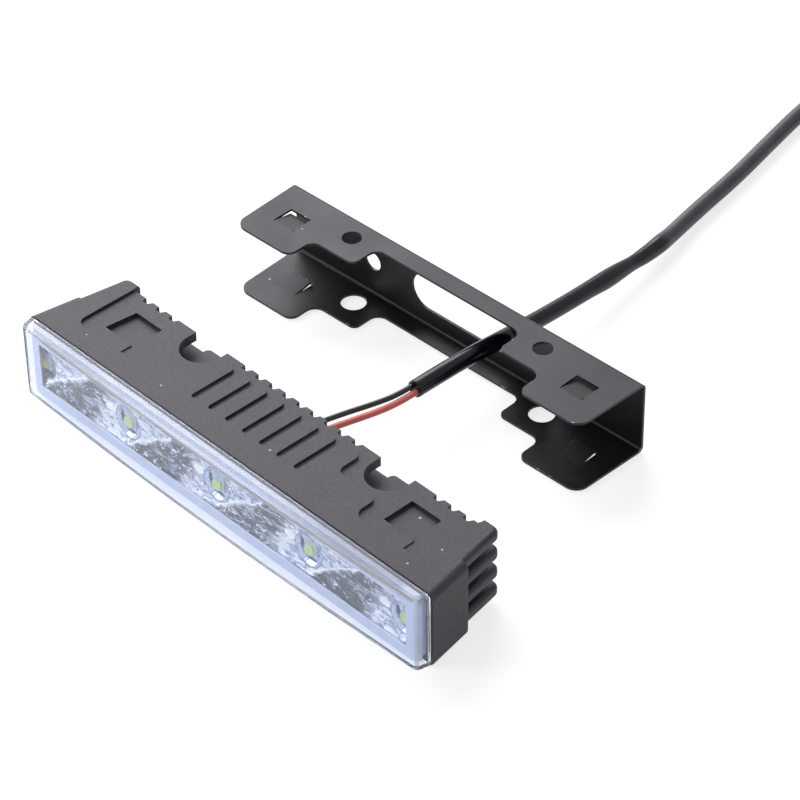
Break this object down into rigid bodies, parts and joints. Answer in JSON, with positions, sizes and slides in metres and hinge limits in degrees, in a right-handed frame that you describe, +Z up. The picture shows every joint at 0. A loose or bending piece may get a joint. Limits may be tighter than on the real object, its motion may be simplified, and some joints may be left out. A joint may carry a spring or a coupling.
{
  "type": "daytime running light",
  "caption": "Long car light with a clear lens, finned housing, clip bracket shown taken off, and a sleeved lead.",
  "frame": {"origin": "on the table, in the middle of the box round lamp and clip together", "axes": "+X along the lamp towards its right end as seen from the lens side, +Y from the lens to the back, +Z up"},
  "size_m": [0.1879, 0.3485, 0.025],
  "materials": {
    "black_powder_coat": "fine matte powder coat",
    "clear_lens": "clear polycarbonate, faint lavender tint",
    "seal_glue": "dark glue",
    "pale_frame": "satin pale blue-grey",
    "reflector_chrome": "vacuum metallised",
    "board_white": "white solder mask",
    "pad_grey": "soft",
    "screw_steel": "zinc plated",
    "board_green": "solder mask",
    "emitter": "clear dome over a pale yellow chip",
    "ferrite": "matte",
    "capacitor_can": "bright can",
    "chip_epoxy": "matte",
    "rubber_black": "matte",
    "clip_paint": "satin black paint, worn bright at the cut edges",
    "wire_black": "glossy insulation",
    "wire_red": "glossy insulation",
    "lead_jacket": "glossy shrink sleeve, then satin jacket",
    "connector_black": "satin moulding",
    "seal_orange": "matte silicone",
    "blade_tin": "tin plated"
  },
  "bodies": {
    "root": {"housing": "black_powder_coat", "lens": "clear_lens", "lens_seal": "seal_glue", "inner_frame": "pale_frame", "reflector": "reflector_chrome", "light_board": "board_white", "thermal_pad": "pad_grey", "board_screw_left": "screw_steel", "board_screw_right": "screw_steel", "driver_board": "board_green", "inductor": "ferrite", "capacitor": "capacitor_can", "control_chip": "chip_epoxy", "grommet": "rubber_black", "clip_bracket": "clip_paint", "black_wire": "wire_black", "red_wire": "wire_red", "lead": "lead_jacket", "lead_coil": "lead_jacket", "lead_tail": "lead_jacket", "connector_seal": "seal_orange", "connector_housing": "connector_black", "terminal_1": "blade_tin", "terminal_2": "blade_tin", "emitter_1": "emitter", "emitter_2": "emitter", "emitter_3": "emitter", "emitter_4": "emitter", "emitter_5": "emitter"}
  },
  "joints": []
}
